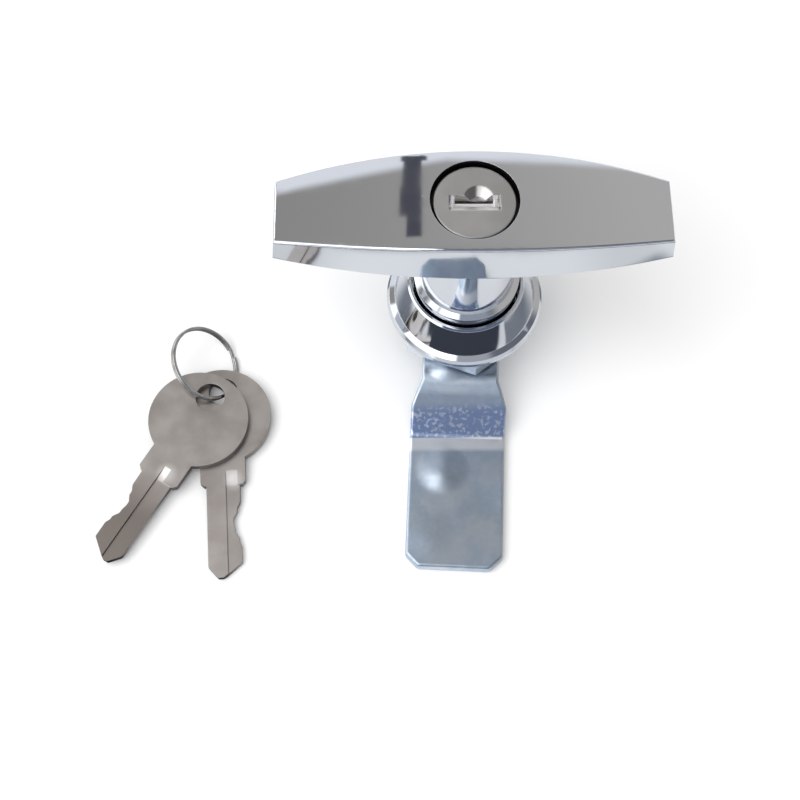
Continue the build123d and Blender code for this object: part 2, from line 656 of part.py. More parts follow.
def key_blade_outline():
    # The bitted edge is on the -Y side. Each cut is a flat under one wafer with sloped sides.
    half = KEY_WIDTH / 2
    points = [(KEY_SHOULDER - 1, -half)]
    flat = KEY_CUT_FLAT / 2
    for i, cut in enumerate(KEY_CUTS):
        middle = KEY_SHOULDER + WAFER_FIRST_BELOW_ENTRY + i * WAFER_PITCH
        points.append((middle - flat, -half + cut))
        points.append((middle + flat, -half + cut))
    last = points[-1][0]
    points += [
        (last + KEY_CUT_END, -half), (KEY_TIP - KEY_TIP_LENGTH, -half),
        (KEY_TIP, KEY_TIP_NOSE - KEY_TIP_NOSE_HALF), (KEY_TIP, KEY_TIP_NOSE + KEY_TIP_NOSE_HALF),
        (KEY_TIP - KEY_BACK_SLOPE, half), (KEY_SHOULDER - 1, half),
    ]
    blade = make_face(Polyline(*points, close=True))
    return fillet(blade.vertices().filter_by(lambda v: v.X > last + 2 * KEY_CUT_END), KEY_TIP_ROUND)


def milled_side(groove, width, outer):
    # What the cutter takes off one side of the blade, from the groove line to the edge on +Y.
    # It starts as a narrow slot whose floor runs out to the face in an arc.
    floor = -KEY_MILL_DEPTH
    ramp_end = KEY_MILL_START + KEY_MILL_RAMP
    radius = (KEY_MILL_RAMP ** 2 + KEY_MILL_DEPTH ** 2) / (2 * KEY_MILL_DEPTH)
    halfway = KEY_MILL_RAMP / 2
    run_out = make_face([
        ThreePointArc(
            (KEY_MILL_START, 0), (ramp_end - halfway, floor + radius - math.sqrt(radius ** 2 - halfway ** 2)),
            (ramp_end, floor),
        ),
        *Polyline((ramp_end, floor), (KEY_TIP + 1, floor), (KEY_TIP + 1, 1), (KEY_MILL_START, 1),
                  (KEY_MILL_START, 0)).edges(),
    ])
    slot = Pos(0, groove, 0) * extrude(Plane.XZ * run_out, -width)
    return slot + block((KEY_SHOULDER, groove, floor), (KEY_TIP + 1, outer, 1))


def key():
    body = extrude(key_blank_outline() + key_blade_outline(), KEY_THICKNESS)
    body -= rod(KEY_HOLE_RADIUS, 0, KEY_THICKNESS, -KEY_HOLE_OFFSET, -KEY_HOLE_ASIDE)
    front = Pos(0, 0, KEY_THICKNESS) * milled_side(KEY_FRONT_GROOVE, KEY_FRONT_MILL, KEY_WIDTH)
    back = Rot(180, 0, 0) * milled_side(-KEY_BACK_GROOVE, KEY_BACK_MILL, KEY_WIDTH)
    return body - front - back


def ring_section_height():
    # Height of the split ring's two turns together, along its own axis.
    return RING_WIRE + RING_TURN_PITCH


def ring_centre():
    # The right-hand side of the tilted ring rests on the table.
    tilt = math.radians(RING_TILT)
    rise = RING_RADIUS * math.sin(tilt) + RING_TURN_PITCH / 2 * math.cos(tilt) + RING_WIRE / 2
    return Vector(RING_CENTRE_X, RING_CENTRE_Y, TABLE + rise)


def ring_point(angle):
    # A point on the ring's middle circle, by its angle round the ring in degrees.
    tilt = math.radians(RING_TILT)
    turn = math.radians(angle)
    sideways = Vector(math.cos(tilt), 0, -math.sin(tilt)) * (RING_RADIUS * math.cos(turn))
    return ring_centre() + sideways + Vector(0, RING_RADIUS * math.sin(turn), 0)


def key_slope():
    # The keys' tips touch the table, and the ring lifts their bows to where it passes the hole.
    lift = ring_point(RING_BACK_HOLE).Z - TABLE - KEY_THICKNESS / 2
    reach = (KEY_TIP + KEY_HOLE_OFFSET) * abs(math.sin(math.radians(BACK_KEY_HEADING))) - BACK_KEY_ONWARD
    return math.degrees(math.asin(lift / reach))


def front_hole():
    # Where the ring's middle circle crosses the middle of the upper key, which lies on the lower one.
    slope = math.radians(key_slope())
    normal = Vector(0, -math.sin(slope), math.cos(slope))
    start = ring_point(RING_BACK_HOLE) + normal * (KEY_THICKNESS + KEY_GAP)
    tilt = math.radians(RING_TILT)
    sideways = Vector(math.cos(tilt), 0, -math.sin(tilt)) * RING_RADIUS
    onward = Vector(0, RING_RADIUS, 0)
    a = normal.dot(sideways)
    b = normal.dot(onward)
    c = normal.dot(start - ring_centre())
    turn = math.atan2(b, a) + math.acos(c / math.hypot(a, b))
    return ring_point(math.degrees(turn))


def lay_key(point, aside, onward, heading, turned_over):
    # Puts a key with its blade along a heading. The middle of its hole lies aside of the point
    # and onward from it, both measured in the keys' plane.
    shape = Pos(KEY_HOLE_OFFSET, KEY_HOLE_ASIDE, -KEY_THICKNESS / 2) * key()
    if turned_over:
        shape = Rot(180, 0, 0) * shape
    shape = Rot(key_slope(), 0, 0) * Pos(aside, onward, 0) * Rot(0, 0, heading) * shape
    return Pos(point.X, point.Y, point.Z) * shape


def key_front():
    return lay_key(front_hole(), 0, 0, FRONT_KEY_HEADING, False)


def key_back():
    point = ring_point(RING_BACK_HOLE)
    return lay_key(point, BACK_KEY_ASIDE, BACK_KEY_ONWARD, BACK_KEY_HEADING, True)


def key_ring():
    # Two turns of wire, one on the other, with a wire end showing on each side.
    half = RING_TURN_PITCH / 2
    section = Pos(RING_RADIUS, half) * Circle(RING_WIRE / 2)
    section += Pos(RING_RADIUS, -half) * Circle(RING_WIRE / 2)
    ring = revolve(Plane.XZ * section, Axis.Z)
    deep = RING_WIRE
    for side in (-1, 1):
        low = 0 if side > 0 else -ring_section_height()
        high = ring_section_height() if side > 0 else 0
        gap = block((RING_RADIUS - deep, -RING_END_GAP / 2, low), (RING_RADIUS + deep, RING_END_GAP / 2, high))
        ring -= Rot(0, 0, RING_END_ANGLE * side) * gap
    centre = ring_centre()
    return Pos(centre.X, centre.Y, centre.Z) * Rot(0, RING_TILT, 0) * ring


PARTS = [
    t_handle, neck_o_ring, lock_plug, wafers, wafer_springs, retainer_wafer, retainer_spring,
    plug_tailpiece, locking_bolt, housing, panel_gasket, hex_nut, stop_washer, cam, plain_washer,
    spring_washer, cam_screw, key_front, key_back, key_ring,
]

os.makedirs("parts", exist_ok=True)
for make in PARTS:
    export_step(make(), f"parts/{make.__name__}.step")
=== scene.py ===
# T-handle lock with its two keys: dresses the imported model, lights it and sets the camera
import bpy
import math
import numpy as np
from mathutils import Matrix, Vector


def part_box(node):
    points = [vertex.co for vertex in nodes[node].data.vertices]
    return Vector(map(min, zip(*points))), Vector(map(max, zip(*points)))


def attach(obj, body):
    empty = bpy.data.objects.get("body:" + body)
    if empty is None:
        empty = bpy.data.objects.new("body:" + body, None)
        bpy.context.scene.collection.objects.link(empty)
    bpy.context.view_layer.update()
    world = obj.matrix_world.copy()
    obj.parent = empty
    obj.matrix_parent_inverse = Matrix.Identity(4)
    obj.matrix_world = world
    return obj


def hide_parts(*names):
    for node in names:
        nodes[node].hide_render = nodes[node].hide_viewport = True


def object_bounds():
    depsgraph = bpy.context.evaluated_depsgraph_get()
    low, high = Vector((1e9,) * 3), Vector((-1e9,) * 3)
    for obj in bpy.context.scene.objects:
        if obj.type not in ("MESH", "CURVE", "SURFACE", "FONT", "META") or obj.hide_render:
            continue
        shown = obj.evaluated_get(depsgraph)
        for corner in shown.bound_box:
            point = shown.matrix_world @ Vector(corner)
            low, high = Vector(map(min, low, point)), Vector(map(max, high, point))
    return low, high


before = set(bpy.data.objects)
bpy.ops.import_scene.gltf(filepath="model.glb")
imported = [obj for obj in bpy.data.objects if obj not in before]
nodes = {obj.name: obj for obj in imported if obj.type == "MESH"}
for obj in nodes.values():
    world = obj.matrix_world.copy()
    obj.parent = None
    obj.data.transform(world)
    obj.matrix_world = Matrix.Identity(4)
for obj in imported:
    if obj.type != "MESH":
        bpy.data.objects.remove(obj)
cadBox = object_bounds()
mm = 0.001
print("frame loaded:", len(nodes), "nodes")


# Node helpers. A value may be a number, a vector, a colour or another node's socket.

def setSocket(tree, socket, value):
    if isinstance(value, bpy.types.NodeSocket):
        tree.links.new(value, socket)
    else:
        socket.default_value = value


# inputs maps a socket's name or number to its value
def addNode(tree, kind, inputs=None, **settings):
    node = tree.nodes.new(kind)
    for key, value in settings.items():
        setattr(node, key, value)
    for key, value in (inputs or {}).items():
        setSocket(tree, node.inputs[key], value)
    return node


def mathNode(tree, operation, *values):
    return addNode(tree, "ShaderNodeMath", dict(enumerate(values)), operation=operation).outputs[0]


def product(tree, result, *factors):
    for factor in factors:
        result = mathNode(tree, "MULTIPLY", result, factor)
    return result


# toLow on low's side, toHigh on high's, and between them a smooth step u u (3 - 2 u)
def ramp(tree, value, low, high, toLow=0.0, toHigh=1.0):
    node = addNode(
        tree, "ShaderNodeMapRange",
        {"Value": value, "From Min": low, "From Max": high, "To Min": toLow, "To Max": toHigh},
        interpolation_type="SMOOTHSTEP",
    )
    return node.outputs["Result"]


# 1 where low < value < high, and 0 elsewhere
def between(tree, value, low, high):
    above = mathNode(tree, "GREATER_THAN", value, low)
    return product(tree, above, mathNode(tree, "LESS_THAN", value, high))


# first (1 - factor) + second factor, where a MULTIPLY blend takes first times second for second
def mixColour(tree, factor, first, second, blend="MIX"):
    sockets = {0: factor, 6: first, 7: second}
    return addNode(tree, "ShaderNodeMix", sockets, data_type="RGBA", blend_type=blend).outputs[2]


def noise(tree, place, scale, detail, **others):
    sockets = {"Vector": place, "Scale": scale, "Detail": detail, **others}
    return addNode(tree, "ShaderNodeTexNoise", sockets).outputs[0]


# x, y and z of a place, and the place itself with its z at zero
def splitPlace(tree, place):
    x, y, z = addNode(tree, "ShaderNodeSeparateXYZ", {0: place}).outputs
    flat = addNode(tree, "ShaderNodeCombineXYZ", {0: x, 1: y}).outputs[0]
    return x, y, z, flat


def distance(tree, place, centre=(0.0, 0.0, 0.0)):
    node = addNode(tree, "ShaderNodeVectorMath", {0: place, 1: centre}, operation="DISTANCE")
    return node.outputs["Value"]


socketKinds = {"float": "NodeSocketFloat", "vector": "NodeSocketVector", "colour": "NodeSocketColor"}


# A shader node group. inputs and outputs map each socket's name to its kind.
def startGroup(name, inputs, outputs):
    group = bpy.data.node_groups.new(name, "ShaderNodeTree")
    for side, sockets in (("INPUT", inputs), ("OUTPUT", outputs)):
        for label, kind in sockets.items():
            group.interface.new_socket(name=label, in_out=side, socket_type=socketKinds[kind])
    given = group.nodes.new("NodeGroupInput").outputs
    out = group.nodes.new("NodeGroupOutput").inputs
    return group, given, out


# Places a group. An underscore in a value's name stands for a space in the socket's.
def useGroup(tree, group, **values):
    node = addNode(tree, "ShaderNodeGroup", node_tree=group)
    for key, value in values.items():
        setSocket(tree, node.inputs[key.replace("_", " ")], value)
    return node.outputs


# Surface effects that several finishes share

castingGrain = {
    "cloudScale": 160.0,          # haze, patches per metre
    "cloudFrom": (0.42, 0.72),    # values of the noise where the haze starts and is full
    "hairScale": 5200.0,
    "hairRoughness": 0.02,
}


# A buffed casting: height = Ripple times a slow noise, and
# roughness = Roughness + Haze times a cloudy mask + a trace of fine noise
def polishedCastingGroup():
    group, given, out = startGroup(
        "polishedCasting",
        {"Vector": "vector", "Ripple Size": "float", "Ripple": "float",
         "Roughness": "float", "Haze": "float"},
        {"Roughness": "float", "Height": "float"},
    )
    place = given["Vector"]
    perMetre = mathNode(group, "DIVIDE", 1 / mm, given["Ripple Size"])
    ripple = noise(group, place, perMetre, detail=1.0)
    cloud = noise(group, place, castingGrain["cloudScale"], detail=3.0)
    hairs = noise(group, place, castingGrain["hairScale"], detail=1.0)
    haze = product(group, ramp(group, cloud, *castingGrain["cloudFrom"]), given["Haze"])
    fine = product(group, hairs, castingGrain["hairRoughness"])
    rough = mathNode(group, "ADD", given["Roughness"], mathNode(group, "ADD", haze, fine))
    setSocket(group, out["Roughness"], rough)
    setSocket(group, out["Height"], product(group, ripple, given["Ripple"]))
    return group


tumbledGrain = {
    "patchFrom": (0.36, 0.64),    # values of the noise where a patch is all dark and all light
    "patchRoughness": 0.5,
    "patchDistortion": 0.3,
    "grainScale": 1000.0,
    "grainFrom": (0.35, 0.75),
    "grainLight": 0.12,           # how much of the light colour the grain adds
    "grainHeight": 0.13,
}


# A stamped and plated part: patches from Dark to Light, with a little more light in its grain,
# roughness = Roughness + Spread (1 - patch), and height = Dents times the patches + the grain
def tumbledMetalGroup():
    group, given, out = startGroup(
        "tumbledMetal",
        {"Vector": "vector", "Patch Size": "float", "Light": "colour", "Dark": "colour",
         "Roughness": "float", "Spread": "float", "Dents": "float"},
        {"Color": "colour", "Roughness": "float", "Height": "float"},
    )
    look = tumbledGrain
    perMetre = mathNode(group, "DIVIDE", 1 / mm, given["Patch Size"])
    patches = noise(
        group, given["Vector"], perMetre, detail=2.0,
        Roughness=look["patchRoughness"], Distortion=look["patchDistortion"],
    )
    grain = noise(group, given["Vector"], look["grainScale"], detail=1.5)
    patch = ramp(group, patches, *look["patchFrom"])
    colour = mixColour(group, patch, given["Dark"], given["Light"])
    added = ramp(group, grain, *look["grainFrom"], 0.0, look["grainLight"])
    colour = mixColour(group, added, colour, given["Light"])
    spread = product(group, mathNode(group, "SUBTRACT", 1.0, patch), given["Spread"])
    dents = product(group, patches, given["Dents"])
    height = mathNode(group, "ADD", dents, product(group, grain, look["grainHeight"]))
    setSocket(group, out["Color"], colour)
    setSocket(group, out["Roughness"], mathNode(group, "ADD", given["Roughness"], spread))
    setSocket(group, out["Height"], height)
    return group


brushedLines = {
    "lineRoughness": 0.6,
    "cloudScale": 110.0,
    "cloudFrom": (0.3, 0.7),
}


# Satin plating: noise in a stretched space gives lines, height = Depth times the lines, and
# roughness = Roughness + Spread (lines + cloudy mask)
def brushedGrainGroup():
    group, given, out = startGroup(
        "brushedGrain",
        {"Vector": "vector", "Stretch": "vector", "Line Scale": "float",
         "Roughness": "float", "Spread": "float", "Depth": "float"},
        {"Mask": "float", "Roughness": "float", "Height": "float"},
    )
    stretched = addNode(
        group, "ShaderNodeVectorMath", {0: given["Vector"], 1: given["Stretch"]}, operation="MULTIPLY"
    ).outputs[0]
    lineRoughness = brushedLines["lineRoughness"]
    lines = noise(group, stretched, given["Line Scale"], detail=3.0, Roughness=lineRoughness)
    cloud = noise(group, given["Vector"], brushedLines["cloudScale"], detail=4.0)
    mask = ramp(group, cloud, *brushedLines["cloudFrom"])
    spread = product(group, mathNode(group, "ADD", lines, mask), given["Spread"])
    setSocket(group, out["Mask"], mask)
    setSocket(group, out["Roughness"], mathNode(group, "ADD", given["Roughness"], spread))
    setSocket(group, out["Height"], product(group, lines, given["Depth"]))
    return group


polishedCasting = polishedCastingGroup()
tumbledMetal = tumbledMetalGroup()
brushedGrain = brushedGrainGroup()
print("surface groups made")


# Finishes. Lengths in their dictionaries are in mm, in the object's own frame.

def startMaterial(name):
    material = bpy.data.materials.new(name)
    material.use_nodes = True
    tree = material.node_tree
    tree.nodes.clear()
    shader = addNode(tree, "ShaderNodeBsdfPrincipled")
    addNode(tree, "ShaderNodeOutputMaterial", {"Surface": shader.outputs[0]})
    place = addNode(tree, "ShaderNodeTexCoord").outputs["Object"]
    return material, tree, shader, place


def shadeMetal(tree, shader, colour, roughness):
    setSocket(tree, shader.inputs["Base Color"], colour)
    setSocket(tree, shader.inputs["Roughness"], roughness)
    shader.inputs["Metallic"].default_value = 1.0


bevelSamples = 6


# Raises the surface by height times depth, in metres. Its edges are softened by a radius in mm, or
# it lies on another bump.
def addBump(tree, shader, height, depth=1.0, edge=0.0, under=None):
    bump = addNode(tree, "ShaderNodeBump", {"Height": height, "Distance": depth, "Strength": 1.0})
    if edge:
        under = addNode(tree, "ShaderNodeBevel", {"Radius": edge * mm}, samples=bevelSamples)
    if under:
        tree.links.new(under.outputs[0], bump.inputs["Normal"])
    tree.links.new(bump.outputs[0], shader.inputs["Normal"])
    return bump


chromeLook = {
    "colour": (0.575, 0.60, 0.645, 1),
    "roughness": 0.032,
    "haze": 0.024,
    "rippleSize": 11.0,
    "rippleDepth": 0.012,
    "edge": 0.12,
    "boreReach": 9.25,            # inside this radius the grip's bore is rougher and painted near-black as shade
    "boreHeights": (33.0, 41.8),  # and between these heights
    # the bore's colour is painted shade of the deep recess
    "boreShadeColour": (0.05, 0.048, 0.045, 1),
    "boreRoughness": 0.4,         # added to the polish's
}


# Polished everywhere but in the bore, where the distance from the z axis is under boreReach: there it is
# rougher and painted near-black as shade
def polishedChrome():
    look = chromeLook
    material, tree, shader, place = startMaterial("polishedChrome")
    skin = useGroup(
        tree, polishedCasting, Vector=place, Ripple_Size=look["rippleSize"], Ripple=1.0,
        Roughness=look["roughness"], Haze=look["haze"],
    )
    _, _, z, flat = splitPlace(tree, place)
    near = mathNode(tree, "LESS_THAN", distance(tree, flat), look["boreReach"] * mm)
    low, high = (height * mm for height in look["boreHeights"])
    bore = product(tree, near, between(tree, z, low, high))
    colour = mixColour(tree, bore, look["colour"], look["boreShadeColour"])
    dulled = product(tree, bore, look["boreRoughness"])
    shadeMetal(tree, shader, colour, mathNode(tree, "ADD", skin["Roughness"], dulled))
    addBump(tree, shader, skin["Height"], look["rippleDepth"] * mm, look["edge"])
    return material


nickelLook = {
    "roughness": 0.285,
    "spread": 0.07,
    "lineScale": 1500.0,
    "lineDepth": 0.004,
}


# look gives two colours, the stretch, which is small along the brushing, and how far edges are
# rounded. A spot is a centre, two distances from it and the colour that holds from the second
# distance on. mouth lists the plug's scratched places, painted bright as a highlight, and the
# scoop's left side, painted dark as shade.
def satinNickel(name, look, spots=(), mouth=None):
    material, tree, shader, place = startMaterial(name)
    grain = useGroup(
        tree, brushedGrain, Vector=place, Stretch=look["stretch"], Line_Scale=nickelLook["lineScale"],
        Roughness=nickelLook["roughness"], Spread=nickelLook["spread"], Depth=1.0,
    )
    colour = mixColour(tree, grain["Mask"], look["dark"], look["light"])
    for centre, reach, spotColour in spots:
        start, end = (edge * mm for edge in reach)
        spot = ramp(tree, distance(tree, place, [v * mm for v in centre]), start, end)
        colour = mixColour(tree, spot, colour, spotColour)
    if mouth:
        # a painted highlight on the scratched places and painted shade on the scoop's left side
        wearAndHighlight, scoopShade, tilt = keywayWearAndPaintedLight(tree, place, mouth)
        wearAndHighlightColour = mixColour(tree, scoopShade, mouth["colour"], mouth["scoopShade"])
        colour = mixColour(tree, wearAndHighlight, colour, wearAndHighlightColour)
    shadeMetal(tree, shader, colour, grain["Roughness"])
    bump = addBump(tree, shader, grain["Height"], nickelLook["lineDepth"] * mm, look["edge"])
    if mouth:
        addBump(tree, shader, tilt, under=bump)
    return material


plugLook = {
    "light": (0.49, 0.485, 0.48, 1),
    "dark": (0.43, 0.425, 0.42, 1),
    "stretch": (1.0, 1.0, 1.0),
    "edge": 0.4,
}

keyMouth = {
    "reach": 5.0,              # from the plug's axis
    "backWall": 1.75,          # the finger scoop lies behind this y, and the keyway before it
    "scoop": (39.0, 41.17),    # heights that are scratched and painted bright as a highlight, as is the keyway band below
    "keyway": (35.2, 37.8),
    "lip": (38.9, 41.17),      # the keyway's near lip and steps, also painted bright as a highlight
    "lipBefore": 1.66,
    "slope": 1.3,
    # the scratched places' colour: scratched plating, painted brighter as a highlight
    "colour": (0.97, 0.96, 0.95, 1),
    "scoopShade": (0.24, 0.235, 0.23, 1),
    "scoopShadeFrom": (0.9, 0.1),    # the scoop's left side is painted dark as shade, past this x
}


# Two bands of height and the lip, scratched and painted bright as a highlight, and the scoop's
# left side painted dark as shade. tilt = slope (high - z) inside a band, so that its steep
# walls take the light of a gentler, hollowed surface.
def keywayWearAndPaintedLight(tree, place, mouth):
    x, y, z, flat = splitPlace(tree, place)
    within = mathNode(tree, "LESS_THAN", distance(tree, flat), mouth["reach"] * mm)
    behind = mathNode(tree, "GREATER_THAN", y, mouth["backWall"] * mm)
    before = mathNode(tree, "SUBTRACT", 1.0, behind)
    wearAndHighlight = 0.0
    tilt = 0.0
    for key, side in (("scoop", behind), ("keyway", before)):
        low, high = (level * mm for level in mouth[key])
        part = product(tree, side, within)
        wearAndHighlight = mathNode(tree, "ADD", wearAndHighlight, product(tree, between(tree, z, low, high), part))
        held = mathNode(tree, "MAXIMUM", mathNode(tree, "MINIMUM", z, high), low)
        fall = product(tree, mathNode(tree, "SUBTRACT", high, held), part, mouth["slope"])
        tilt = mathNode(tree, "ADD", tilt, fall)
    low, high = (level * mm for level in mouth["lip"])
    nearSide = mathNode(tree, "LESS_THAN", y, mouth["lipBefore"] * mm)
    lip = product(tree, between(tree, z, low, high), nearSide, within)
    wearAndHighlight = mathNode(tree, "ADD", wearAndHighlight, lip)
    left, right = (edge * mm for edge in mouth["scoopShadeFrom"])
    scoopShade = product(tree, ramp(tree, x, left, right), behind)
    return wearAndHighlight, scoopShade, tilt


keyLook = {
    "light": (0.44, 0.41, 0.39, 1),
    "dark": (0.33, 0.30, 0.28, 1),
    "stretch": (0.6, 0.25, 1.0),
    "edge": 0.15,
    "bowRadius": 11.3,
    "dirty": (16.0, 27.0),                # from the bow's middle, along the front key's blade
    "dirt": (0.20, 0.175, 0.16, 1),
    "sheenReach": (3.0, 0.4),               # reach of a painted sheen, from the middle of the slot beside the groove
    "bright": (0.62, 0.60, 0.59, 1),
    "frontSlot": (-66.6, -36.4, -14.3),
    "backSlot": (-51.8, -37.0, -16.5),
}


# The front key's bow touches its box on the right and behind, so its middle is one radius in
def keyNickels():
    look = keyLook
    right, behind, top = (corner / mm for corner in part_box("key_front")[1])
    bowCentre = (right - look["bowRadius"], behind - look["bowRadius"], top)
    dirtyBlade = (bowCentre, look["dirty"], look["dirt"])
    # each key's slot gets a painted sheen of light
    frontSlot, backSlot = (
        (look[key], look["sheenReach"], look["bright"]) for key in ("frontSlot", "backSlot")
    )
    back = satinNickel("satinNickelKey", look, [backSlot])
    front = satinNickel("usedNickelKey", look, [dirtyBlade, frontSlot])
    return back, front


zincLook = {
    "light": (0.53, 0.60, 0.685, 1),
    "dark": (0.395, 0.475, 0.575, 1),
    "nutLight": (0.88, 0.91, 0.94, 1),
    "nutDark": (0.70, 0.75, 0.80, 1),
    "patchSize": 7.0,
    "roughness": 0.285,
    "spread": 0.07,
    "dentDepth": 0.05,
    "edge": 0.2,
}

camMarks = {
    "fold": (-31.0, -29.6, -27.3),              # y where the painted highlight band below the fold starts, is full and ends
    "foldHighlightColour": (0.86, 0.88, 0.91, 1),
    "slant": (-27.4, -27.0, -23.0, -20.5),      # y where the slant starts, is full, starts to end and ends
    # the slant is tinted bluer and painted darker as shade
    "slantShadeTint": (0.63, 0.71, 0.94, 1),
    "speckScale": 1150.0,
    "speckFrom": (0.50, 0.66),
    "speckShare": (0.06, 0.55),                 # off the slant and on it
    "speckle": (0.97, 0.985, 1.0, 1),
    "rightShadeFrom": (0.3, 0.8),                      # x of the normal on the right side, which is painted dark as shade
    "rightSideShade": (0.30, 0.32, 0.34, 1),
    "knocks": [                                 # x and y of the middle, reach and height
        (-5.0, -35.2, 6.4, 0.66), (-3.5, -11.5, 6.0, 1.3),
        (6.0, -45.0, 9.0, -0.18), (-9.0, -50.0, 7.0, 0.22),
    ],
}


def bluishZinc(name, light, dark, marks=None):
    look = zincLook
    material, tree, shader, place = startMaterial(name)
    skin = useGroup(
        tree, tumbledMetal, Vector=place, Patch_Size=look["patchSize"], Light=light, Dark=dark,
        Roughness=look["roughness"], Spread=look["spread"], Dents=1.0,
    )
    bump = addBump(tree, shader, skin["Height"], look["dentDepth"] * mm, look["edge"])
    colour = skin["Color"]
    if marks:
        colour, raised = markedCam(tree, place, marks, colour)
        addBump(tree, shader, raised, under=bump)
    shadeMetal(tree, shader, colour, skin["Roughness"])
    return material


# The cam's colours in bands of y, with a painted highlight below the fold and painted shade on the
# slant and on the right side, and raised = the sum of each knock's height times a smooth step
# from its reach to its middle
def markedCam(tree, place, marks, colour):
    _, y, _, flat = splitPlace(tree, place)
    start, full, end = (edge * mm for edge in marks["fold"])
    fold = product(tree, ramp(tree, y, start, full), mathNode(tree, "LESS_THAN", y, end))
    colour = mixColour(tree, fold, colour, marks["foldHighlightColour"])
    start, full, fading, end = (edge * mm for edge in marks["slant"])
    slant = product(tree, ramp(tree, y, start, full), ramp(tree, y, end, fading))
    slantShaded = mixColour(tree, 1.0, colour, marks["slantShadeTint"], "MULTIPLY")
    colour = mixColour(tree, slant, colour, slantShaded)
    specks = noise(tree, place, marks["speckScale"], detail=2.0)
    share = ramp(tree, slant, 0.0, 1.0, *marks["speckShare"])
    speck = product(tree, ramp(tree, specks, *marks["speckFrom"]), share)
    colour = mixColour(tree, speck, colour, marks["speckle"])
    # the cam's right side faces are painted dark as shade
    facing = addNode(tree, "ShaderNodeTexCoord").outputs["Normal"]
    rightward = addNode(tree, "ShaderNodeSeparateXYZ", {0: facing}).outputs[0]
    colour = mixColour(tree, ramp(tree, rightward, *marks["rightShadeFrom"]), colour, marks["rightSideShade"])
    raised = 0.0
    for left, along, reach, rise in marks["knocks"]:
        away = distance(tree, flat, (left * mm, along * mm, 0.0))
        raised = mathNode(tree, "ADD", raised, ramp(tree, away, reach * mm, 0.0, 0.0, rise * mm))
    return colour, raised


steelSkin = {
    "spread": 0.1,
    "dents": 0.5,
    "dentDepth": 0.01,
    "edge": 0.1,
}

steels = {
    "ringWire": {
        "light": (0.39, 0.385, 0.38, 1), "dark": (0.29, 0.285, 0.28, 1), "roughness": 0.16, "patchSize": 3.0,
    },
    "plainSteel": {
        "light": (0.56, 0.56, 0.57, 1), "dark": (0.40, 0.40, 0.42, 1), "roughness": 0.28, "patchSize": 2.5,
    },
    "stampedBrass": {
        "light": (0.80, 0.64, 0.34, 1), "dark": (0.66, 0.49, 0.24, 1), "roughness": 0.24, "patchSize": 1.6,
    },
}


def plainSteel(name, look):
    material, tree, shader, place = startMaterial(name)
    skin = useGroup(
        tree, tumbledMetal, Vector=place, Patch_Size=look["patchSize"], Light=look["light"],
        Dark=look["dark"], Roughness=look["roughness"], Spread=steelSkin["spread"], Dents=steelSkin["dents"],
    )
    shadeMetal(tree, shader, skin["Color"], skin["Roughness"])
    addBump(tree, shader, skin["Height"], steelSkin["dentDepth"] * mm, steelSkin["edge"])
    return material


rubberLook = {
    "black": (0.018, 0.018, 0.019, 1),
    "bloom": (0.05, 0.05, 0.052, 1),
    "bloomScale": 240.0,
    "bloomFrom": (0.45, 0.75),
    "grainScale": 2600.0,
    "grainFrom": (0.3, 0.7),
    "roughness": (0.5, 0.68),
    "grainDepth": 0.02,
}


# Black rubber with a fine matt grain and a dusty bloom
def mouldedRubber():
    look = rubberLook
    material, tree, shader, place = startMaterial("blackRubber")
    grain = noise(tree, place, look["grainScale"], detail=2.0)
    bloom = ramp(tree, noise(tree, place, look["bloomScale"], detail=3.0), *look["bloomFrom"])
    setSocket(tree, shader.inputs["Base Color"], mixColour(tree, bloom, look["black"], look["bloom"]))
    setSocket(tree, shader.inputs["Roughness"], ramp(tree, grain, *look["grainFrom"], *look["roughness"]))
    addBump(tree, shader, grain, look["grainDepth"] * mm)
    return material


chrome = polishedChrome()
nickelPlug = satinNickel("satinNickelPlug", plugLook, mouth=keyMouth)
backNickel, frontNickel = keyNickels()
zinc = bluishZinc("bluishZinc", zincLook["light"], zincLook["dark"])
camZinc = bluishZinc("knockedZinc", zincLook["light"], zincLook["dark"], camMarks)
brightZinc = bluishZinc("brightZinc", zincLook["nutLight"], zincLook["nutDark"])
wireSteel, darkSteel, stampedBrass = (plainSteel(name, look) for name, look in steels.items())
rubber = mouldedRubber()

finishes = {
    "t_handle": chrome, "housing": chrome,
    "lock_plug": nickelPlug, "key_front": frontNickel, "key_back": backNickel,
    "cam": camZinc, "hex_nut": brightZinc, "cam_screw": zinc,
    "stop_washer": zinc, "plain_washer": zinc, "spring_washer": zinc,
    "wafers": stampedBrass, "retainer_wafer": stampedBrass,
    "plug_tailpiece": darkSteel, "locking_bolt": darkSteel,
    "wafer_springs": darkSteel, "retainer_spring": darkSteel, "key_ring": wireSteel,
    "panel_gasket": rubber, "neck_o_ring": rubber,
}
for nodeName, finish in finishes.items():
    mesh = nodes[nodeName].data
    mesh.materials.clear()
    mesh.materials.append(finish)
print("finishes given to", len(finishes), "nodes")


# Surfaces on grids

# sign(wave) |wave|^power, where a power under 1 makes a circle squarer
def squarer(wave, power):
    return np.sign(wave) * np.abs(wave) ** power


